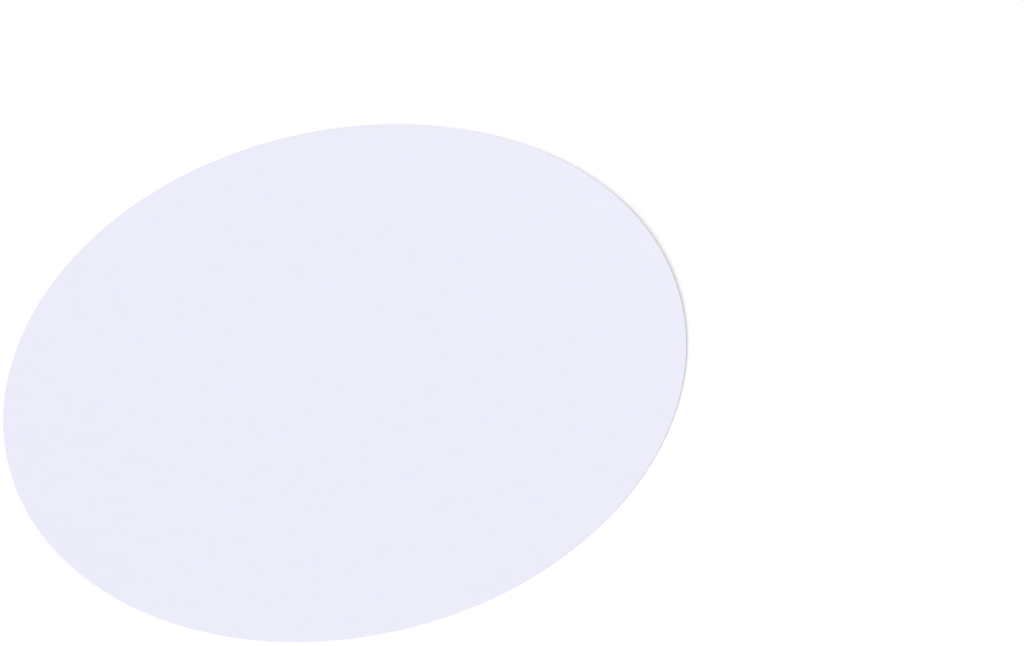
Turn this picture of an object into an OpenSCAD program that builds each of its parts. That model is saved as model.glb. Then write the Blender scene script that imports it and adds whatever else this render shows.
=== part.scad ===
// Filter paper disc: one round sheet of plain cellulose filter paper, cut from the web with a
// round die, lying flat with its cut side up.
// All sizes are in millimetres. The origin is the centre of the underside, and +Z points up
// through the sheet, along the axis of the disc.

/* [Sheet] */
// Diameter across the cut edge
disc_d = 150; // [30:1:600]
// Thickness of the paper
paper_t = 0.18; // [0.12:0.01:1.2]

/* [Cut edge] */
// Width of the band of the upper face that the die drags down as it enters the paper
roll_w = 0.08; // [0.05:0.01:0.3]
// Depth that this band has sunk by where it meets the cut wall
roll_depth = 0.04; // [0.01:0.01:0.05]
// Radius of the lower edge, where the cut leaves the paper
exit_r = 0.02; // [0.01:0.01:0.05]

/* [Hidden] */

// Facets round the disc, and round the small arcs of its cut edge
disc_facets = 360;
edge_facets = 64;

disc_r = disc_d / 2;
// Radius of the arc that leaves the upper face level and sinks by roll_depth across roll_w
roll_r = (roll_w * roll_w + roll_depth * roll_depth) / (2 * roll_depth);

// Half of the section through the axis, with the paper's full thickness and the rolled upper edge:
// a flat inner part, a lower part as wide as the disc, and the arc that joins them.
module rolled_section() {
    square([disc_r - roll_w, paper_t]);
    square([disc_r, paper_t - roll_depth]);
    intersection() {
        translate([disc_r - roll_w, paper_t - roll_r]) circle(roll_r, $fn = edge_facets);
        square([disc_r, paper_t]);
    }
}

// The corner of the section that the rounded lower edge leaves empty.
module lower_corner() {
    difference() {
        translate([disc_r - exit_r, 0]) square(exit_r);
        translate([disc_r - exit_r, exit_r]) circle(exit_r, $fn = edge_facets);
    }
}

// The whole sheet: its section turned about the axis.
module filter_paper() {
    color([0.925, 0.925, 0.98])
        rotate_extrude($fn = disc_facets)
            difference() {
                rolled_section();
                lower_corner();
            }
}

filter_paper();
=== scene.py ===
import math

import bpy
import numpy as np
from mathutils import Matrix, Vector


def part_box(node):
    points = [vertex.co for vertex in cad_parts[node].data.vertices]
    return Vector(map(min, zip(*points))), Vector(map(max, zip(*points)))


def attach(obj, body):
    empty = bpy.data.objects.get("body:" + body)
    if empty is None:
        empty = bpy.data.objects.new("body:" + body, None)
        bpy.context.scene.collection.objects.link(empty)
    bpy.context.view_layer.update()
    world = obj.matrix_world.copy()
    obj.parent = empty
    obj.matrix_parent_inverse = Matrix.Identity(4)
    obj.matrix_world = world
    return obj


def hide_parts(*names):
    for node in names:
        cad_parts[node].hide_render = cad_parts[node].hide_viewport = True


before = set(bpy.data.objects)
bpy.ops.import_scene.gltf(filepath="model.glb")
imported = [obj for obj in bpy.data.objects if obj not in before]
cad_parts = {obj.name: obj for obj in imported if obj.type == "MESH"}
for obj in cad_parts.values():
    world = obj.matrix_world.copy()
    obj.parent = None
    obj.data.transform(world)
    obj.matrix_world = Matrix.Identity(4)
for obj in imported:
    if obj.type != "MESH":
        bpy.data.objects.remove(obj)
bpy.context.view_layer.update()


# ---- The sheet of filter paper ---------------------------------------------------------------
# One round sheet of felted cotton and wood cellulose, uncoated and unsized, so it is matte and
# faintly cloudy. A round die stamps it out of the web, and rolls its upper edge down as it goes
# in. It lies loose: its own weight holds the middle flat, and its curl lifts two margins a little.

MM = 0.001

# The frame's rim is a ring of short chords, so its box meets the true circle only on some sides.
disc_low, disc_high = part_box("filter_paper")
disc_radius = max(disc_high.x, disc_high.y, -disc_low.x, -disc_low.y)
paper_thick = disc_high.z - disc_low.z

# Each face is a grid of cells that stops a little short of the rim, and the cut edge goes on from it.
grid_cells = 160
flat_margin = 0.5 * MM
wave_count = 80


def round_grid(cells):
    """A square grid drawn onto a disc of radius 1. Each square ring of the grid becomes a circle
    as far from the middle as the ring is, with its points spread evenly round that circle."""
    step = np.linspace(-1, 1, cells + 1)
    across, along = np.meshgrid(step, step, indexing="ij")
    sideways = np.abs(across) > np.abs(along)
    radius = np.where(sideways, across, along)
    other = np.where(sideways, along, across)
    share = np.divide(other, radius, out=np.zeros_like(radius), where=radius != 0)
    eighth = share * math.pi / 4
    turn = np.where(sideways, eighth, math.pi / 2 - eighth)
    return radius * np.cos(turn), radius * np.sin(turn)


def cloudy(x, y, lengths, seed):
    """An uneven field between 0 and 1: the sum of plane waves, each with a heading, a length
    between the two given ones and a start of its own, drawn at random. The sum is divided by
    twice the root of their number, which keeps nearly all of it between -1 and 1."""
    draw = np.random.default_rng(seed)
    headings = draw.uniform(0, math.tau, wave_count)
    ripples = math.tau / draw.uniform(*lengths, wave_count)
    starts = draw.uniform(0, math.tau, wave_count)
    total = np.zeros_like(x)
    for heading, ripple, start in zip(headings, ripples, starts):
        total += np.cos(ripple * (x * math.cos(heading) + y * math.sin(heading)) + start)
    return 0.5 + 0.5 * np.clip(total / (2 * math.sqrt(wave_count)), -1, 1)


# The curl is how tightly a margin would roll if it weighed nothing, as one over its radius in
# metres. The stiffness is in newton metres, and the weight in newtons for each square metre.
stiffness = 4.9e-4
weight = 0.83
curl_heading = math.radians(18)
curl_right = 1.5
curl_left = 0.8
curl_lean = 0.2
cockle_height = 0.1 * MM
cockle_lengths = (26 * MM, 60 * MM)


def standing(x, y):
    """How far the sheet stands off the table. A margin that curls by c lifts off as far in as
    the root of 2 c stiffness / weight. Over that width w it rises to c w^2 / 4 at its edge, as
    (4 s^3 - s^4) / 3 of that, with s the share of w covered: the bending of a strip whose edge
    is free and whose inner end is level. It lifts more towards one end of the margin. Slow
    cockles add to it, and grow with the square of the radius."""
    across = x * math.cos(curl_heading) + y * math.sin(curl_heading)
    along = y * math.cos(curl_heading) - x * math.sin(curl_heading)
    curl = np.where(across > 0, curl_right, curl_left) * (1 + curl_lean * along / disc_radius)
    width = np.sqrt(2 * curl * stiffness / weight)
    covered = np.clip((np.abs(across) - disc_radius + width) / width, 0, 1)
    lifted = curl * width**2 / 4 * (4 * covered**3 - covered**4) / 3
    cockles = cloudy(x, y, cockle_lengths, seed=3)
    return lifted + cockle_height * cockles * (x * x + y * y) / disc_radius**2


pit_depth = 0.012 * MM
pit_lengths = (3 * MM, 9 * MM)


def sheet_point(x, y, height):
    """The point of the sheet over (x, y), at a height through its thickness. Both faces sink in
    a little where the fibres settled thinly, so it is nowhere thicker than its true thickness."""
    under = pit_depth * cloudy(x, y, pit_lengths, seed=11)
    over = pit_depth * cloudy(x, y, pit_lengths, seed=12)
    share = height / paper_thick
    z = standing(x, y) + under * (1 - share) + (paper_thick - over) * share
    return np.stack([x, y, disc_low.z + z], axis=-1)


# The cut edge has the same roll and the same rounding as the frame's solid, and a short level lead
# on each face.
roll_width = 0.08 * MM
roll_depth = 0.04 * MM
exit_round = 0.02 * MM
edge_lead = 0.06 * MM
arc_points = 6
corner_points = 4
wall_points = 4


def cut_edge():
    """The section of the cut edge, from the upper face to the underside, as how far in from the
    rim and how high. It starts level, falls along the rolled arc, goes down the upright wall,
    turns in round the lower corner, and ends level. The arc leaves the face level and has sunk by
    the roll's depth over its width, so its radius is (width^2 + depth^2) / (2 depth)."""
    roll_radius = (roll_width**2 + roll_depth**2) / (2 * roll_depth)
    rolled = np.linspace(0, math.asin(roll_width / roll_radius), arc_points)
    turned = np.linspace(0, math.pi / 2, corner_points)
    wall = np.linspace(paper_thick - roll_depth, exit_round, wall_points)[1:-1]
    inset = np.concatenate([
        [roll_width + edge_lead],
        roll_width - roll_radius * np.sin(rolled),
        np.zeros_like(wall),
        exit_round * (1 - np.cos(turned)),
        [exit_round + edge_lead],
    ])
    height = np.concatenate([
        [paper_thick],
        paper_thick - roll_radius * (1 - np.cos(rolled)),
        wall,
        exit_round * (1 - np.sin(turned)),
        [0],
    ])
    return inset, height


ragged_depth = 0.02 * MM
ragged_lengths = (1.5 * MM, 6 * MM)

# The map is 1 across. Each face is a disc on it, and the cut edge is a ring round the upper one.
bake_centre = 0.292
bake_radius = 0.284
bake_rim = 0.288


def disc_mesh(name):
    """The closed sheet: a round grid for each face, and the section of the cut edge carried round
    the rim between them, a little further in where it is frayed. Its map holds the two faces as
    two discs in opposite corners, with the cut edge spread out round the upper one."""
    x, y = round_grid(grid_cells)
    face_radius = disc_radius - flat_margin
    upper = sheet_point(x * face_radius, y * face_radius, paper_thick).reshape(-1, 3)
    lower = sheet_point(x * face_radius, y * face_radius, 0).reshape(-1, 3)

    index = np.arange(x.size).reshape(x.shape)
    border = np.concatenate([index[-1, :-1], index[:0:-1, -1], index[0, :0:-1], index[:-1, 0]])
    turn = np.arctan2(y.ravel()[border], x.ravel()[border])

    inset, height = cut_edge()
    fray = cloudy(disc_radius * np.cos(turn), disc_radius * np.sin(turn), ragged_lengths, seed=21)
    reach = disc_radius - inset[:, None] - ragged_depth * fray
    rings = sheet_point(reach * np.cos(turn), reach * np.sin(turn), height[:, None])

    points = np.concatenate([upper, lower, rings.reshape(-1, 3)])
    ring_index = 2 * len(upper) + np.arange(reach.size).reshape(reach.shape)
    bands = np.concatenate([border[None], ring_index, len(upper) + border[None]])

    face = np.stack([index[:-1, :-1], index[1:, :-1], index[1:, 1:], index[:-1, 1:]], -1)
    face = face.reshape(-1, 4)
    after = np.roll(bands, -1, axis=1)
    edge = np.stack([bands[:-1], bands[1:], after[1:], after[:-1]], -1)

    mesh = bpy.data.meshes.new(name)
    quads = np.concatenate([face, len(upper) + face[:, ::-1], edge.reshape(-1, 4)])
    mesh.from_pydata(points.tolist(), [], quads.tolist())
    mesh.shade_smooth()

    flat = np.stack([x, y], -1).reshape(-1, 2)
    spread = np.linspace(bake_radius, bake_rim, len(bands))[:, None, None]
    rim = bake_centre + spread * np.stack([np.cos(turn), np.sin(turn)], -1)
    rim_after = np.roll(rim, -1, axis=1)
    rim_map = np.stack([rim[:-1], rim[1:], rim_after[1:], rim_after[:-1]], -2)
    bake_map = np.concatenate([
        (bake_centre + bake_radius * flat)[face],
        (1 - bake_centre + bake_radius * flat)[face[:, ::-1]],
        rim_map.reshape(-1, 4, 2),
    ])
    mesh.uv_layers.new(name="OFBake").uv.foreach_set("vector", bake_map.ravel())

    wire_side = np.repeat([0.0, 1.0, 0.0], [len(upper), len(lower), reach.size])
    mesh.attributes.new("wire_side", "FLOAT", "POINT").data.foreach_set("value", wire_side)
    return mesh


paper_disc = bpy.data.objects.new("paper_disc", disc_mesh("paper_disc"))
bpy.context.collection.objects.link(paper_disc)


def add(tree, kind, settings=None, **values):
    """A node of a material, with its settings and with the values of its sockets by name."""
    node = tree.nodes.new("ShaderNode" + kind)
    for key, value in (settings or {}).items():
        setattr(node, key, value)
    for key, value in values.items():
        node.inputs[key.replace("_", " ")].default_value = value
    return node


def math_of(tree, operation, *terms):
    """A sum, product or other working of sockets and numbers, as one socket."""
    node = tree.nodes.new("ShaderNodeMath")
    node.operation = operation
    for socket, term in zip(node.inputs, terms):
        if isinstance(term, bpy.types.NodeSocket):
            tree.links.new(term, socket)
        else:
            socket.default_value = term
    return node.outputs["Value"]


def noise(tree, place, size, detail=3.0, roughness=0.6):
    """An uneven field about 0.5, whose largest patches are about the given size across."""
    node = add(tree, "TexNoise", Scale=1 / size, Detail=detail, Roughness=roughness)
    tree.links.new(place, node.inputs["Vector"])
    return node.outputs


# The coarse fibres and the slim ones: how long, how far apart, and how proud they lie. The band is
# how far from its middle value a noise still draws a fibre.
coarse_fibres = (3.2 * MM, 0.55 * MM, 1.0)
slim_fibres = (1.6 * MM, 0.25 * MM, 0.5)
fibre_band = 0.035
fibre_headings = 12
wander_length = 3.2 * MM
wander_reach = 0.9 * MM


def fibres(tree, place):
    """The felted fibres, 1 along the top of a coarse one and 0 between them. For each heading a
    noise is stretched along it, and only where it is near its middle value does it draw a line,
    long and thin. Coarse and slim fibres take turns round the headings. The place is shifted by
    a slow noise first, so that the fibres wander."""
    shift = noise(tree, place, wander_length)["Color"]
    wander = add(tree, "VectorMath", {"operation": "MULTIPLY_ADD"})
    wander.inputs[1].default_value = (wander_reach, wander_reach, 0)
    tree.links.new(shift, wander.inputs[0])
    tree.links.new(place, wander.inputs[2])
    felt = 0.0
    for turn in range(fibre_headings):
        length, gap, proud = slim_fibres if turn % 2 else coarse_fibres
        lay = add(tree, "Mapping", {"vector_type": "TEXTURE"})
        lay.inputs["Location"].default_value = (0, 0, turn * length)
        lay.inputs["Rotation"].default_value = (0, 0, math.pi * turn / fibre_headings)
        lay.inputs["Scale"].default_value = (length, gap, gap)
        tree.links.new(wander.outputs["Vector"], lay.inputs["Vector"])
        ridge = noise(tree, lay.outputs["Vector"], size=1.0, detail=1.0, roughness=0.4)["Fac"]
        from_middle = math_of(tree, "ABSOLUTE", math_of(tree, "SUBTRACT", ridge, 0.5))
        line = math_of(tree, "SUBTRACT", 1.0, math_of(tree, "DIVIDE", from_middle, fibre_band))
        felt = math_of(tree, "MAXIMUM", math_of(tree, "MULTIPLY", line, proud), felt)
    return felt


thin_white = (0.8265, 0.8260, 0.949, 1)
thick_white = (0.8590, 0.8585, 0.973, 1)
gloss = 0.2
felt_roughness = 0.95
fibre_roughness = 0.86
floc_size = 4.5 * MM
tooth_size = 1.1 * MM
tooth_height = 0.04 * MM
fibre_height = 0.008 * MM

# The forming wire is woven on the bias. A wave texture has 20 / tau bands for each unit of place.
wire_pitch = 0.7 * MM
wire_height = 0.006 * MM
wire_waver = 0.6
wire_bias = math.radians(45)
bands_per_unit = 20 / math.tau


def filter_paper():
    """Uncoated cellulose: a bluish white, matte, clouded by its flocs, with the tooth of the felt
    and its loose fibres on both faces, and the mark of the forming wire on the underside."""
    material = bpy.data.materials.new("filter_paper")
    material.use_nodes = True
    tree = material.node_tree
    shader = tree.nodes["Principled BSDF"]
    shader.inputs["Specular IOR Level"].default_value = gloss
    place = tree.nodes.new("ShaderNodeTexCoord").outputs["Object"]

    flocs = noise(tree, place, floc_size)["Fac"]
    tooth = noise(tree, place, tooth_size)["Fac"]
    felt = fibres(tree, place)

    white = add(tree, "Mix", {"data_type": "RGBA"}, A=thin_white, B=thick_white)
    tree.links.new(flocs, white.inputs["Factor"])
    tree.links.new(white.outputs["Result"], shader.inputs["Base Color"])

    matte = add(tree, "MapRange", To_Min=felt_roughness, To_Max=fibre_roughness)
    tree.links.new(felt, matte.inputs["Value"])
    tree.links.new(matte.outputs["Result"], shader.inputs["Roughness"])

    crossed = []
    for side in (1, -1):
        wires = add(tree, "TexWave", Scale=1 / bands_per_unit / wire_pitch, Distortion=wire_waver)
        turned = add(tree, "Mapping")
        turned.inputs["Rotation"].default_value = (0, 0, side * wire_bias)
        tree.links.new(place, turned.inputs["Vector"])
        tree.links.new(turned.outputs["Vector"], wires.inputs["Vector"])
        crossed.append(wires.outputs["Fac"])
    wire_side = add(tree, "Attribute", {"attribute_name": "wire_side"}).outputs["Fac"]
    wire_mark = math_of(tree, "MULTIPLY", math_of(tree, "MULTIPLY", *crossed), wire_side)

    relief = math_of(tree, "MULTIPLY", tooth, tooth_height)
    relief = math_of(tree, "MULTIPLY_ADD", felt, fibre_height, relief)
    relief = math_of(tree, "MULTIPLY_ADD", wire_mark, wire_height, relief)
    bump = add(tree, "Bump", Distance=1.0)
    tree.links.new(relief, bump.inputs["Height"])
    tree.links.new(bump.outputs["Normal"], shader.inputs["Normal"])
    return material


paper_disc.data.materials.append(filter_paper())
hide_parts("filter_paper")
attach(paper_disc, "root")


# ---- The table -------------------------------------------------------------------------------
# A plain white table top, matt and with no edge in sight, so that nothing shows on it but the
# disc's own shadow.

table_reach = 4.0
table_glow = 0.02
plain_white = (1, 1, 1, 1)

table_mesh = bpy.data.meshes.new("table")
across, along = table_reach * np.array([[-1, 1, 1, -1], [-1, -1, 1, 1]])
corners = np.stack([across, along, np.full(4, disc_low.z)], -1)
table_mesh.from_pydata(corners.tolist(), [], [(0, 1, 2, 3)])
table = bpy.data.objects.new("table", table_mesh)
bpy.context.collection.objects.link(table)


def in_sight(tree):
    """1 for what the camera sees straight on, in a gloss or through glass, and 0 for lighting."""
    path = tree.nodes.new("ShaderNodeLightPath").outputs
    seen = math_of(tree, "MAXIMUM", path["Is Camera Ray"], path["Is Glossy Ray"])
    return math_of(tree, "MAXIMUM", seen, path["Is Transmission Ray"])


def white_top():
    """Matt white. What the camera sees of it has a faint glow, so that it doesn't show grey."""
    material = bpy.data.materials.new("white_top")
    material.use_nodes = True
    tree = material.node_tree
    shader = tree.nodes["Principled BSDF"]
    shader.inputs["Base Color"].default_value = plain_white
    shader.inputs["Roughness"].default_value = 1.0
    shader.inputs["Specular IOR Level"].default_value = 0.0
    shader.inputs["Emission Color"].default_value = plain_white
    glow = math_of(tree, "MULTIPLY", in_sight(tree), table_glow)
    tree.links.new(glow, shader.inputs["Emission Strength"])
    return material


table_mesh.materials.append(white_top())


# ---- Light -----------------------------------------------------------------------------------
# A white room all round, and one broad soft lamp at the front left. Together they give a level
# surface a strength of 1, so a colour renders about as it is written. The room itself shows white.

room_light = 0.65
lamp_height = math.radians(43)
lamp_side = math.radians(-40)
lamp_spread = math.radians(50)

world = bpy.data.worlds.new("white_room")
bpy.context.scene.world = world
world.use_nodes = True
room = world.node_tree
sky = room.nodes["Background"]
sky.inputs["Color"].default_value = plain_white
strength = math_of(room, "MULTIPLY_ADD", in_sight(room), 1 - room_light, room_light)
room.links.new(strength, sky.inputs["Strength"])

lamp = bpy.data.lights.new("soft_lamp", "SUN")
lamp.energy = (1 - room_light) * math.pi / math.sin(lamp_height)
lamp.angle = lamp_spread
lamp_object = bpy.data.objects.new("soft_lamp", lamp)
lamp_object.rotation_euler = (math.pi / 2 - lamp_height, 0, lamp_side)
bpy.context.collection.objects.link(lamp_object)


# ---- Camera ----------------------------------------------------------------------------------
# A long lens that looks down on the disc from the front, leaning a little to one side. It aims to
# the right of the disc, so the disc stands at the left of the frame.

look_down = math.radians(46.73)
lean = math.radians(-10.88)
distance = 0.837
aim = (38.0 * MM, 3.8 * MM, disc_low.z)
long_lens = 135

camera = bpy.data.cameras.new("camera")
camera.lens = long_lens
camera_object = bpy.data.objects.new("camera", camera)
back = distance * math.cos(look_down)
up = distance * math.sin(look_down)
camera_object.location = (aim[0], aim[1] - back, aim[2] + up)
camera_object.rotation_euler = (math.pi / 2 - look_down, 0, 0)
camera_object.rotation_euler.rotate_axis("Z", lean)
bpy.context.collection.objects.link(camera_object)
bpy.context.scene.camera = camera_object
bpy.context.scene.view_settings.view_transform = "Standard"
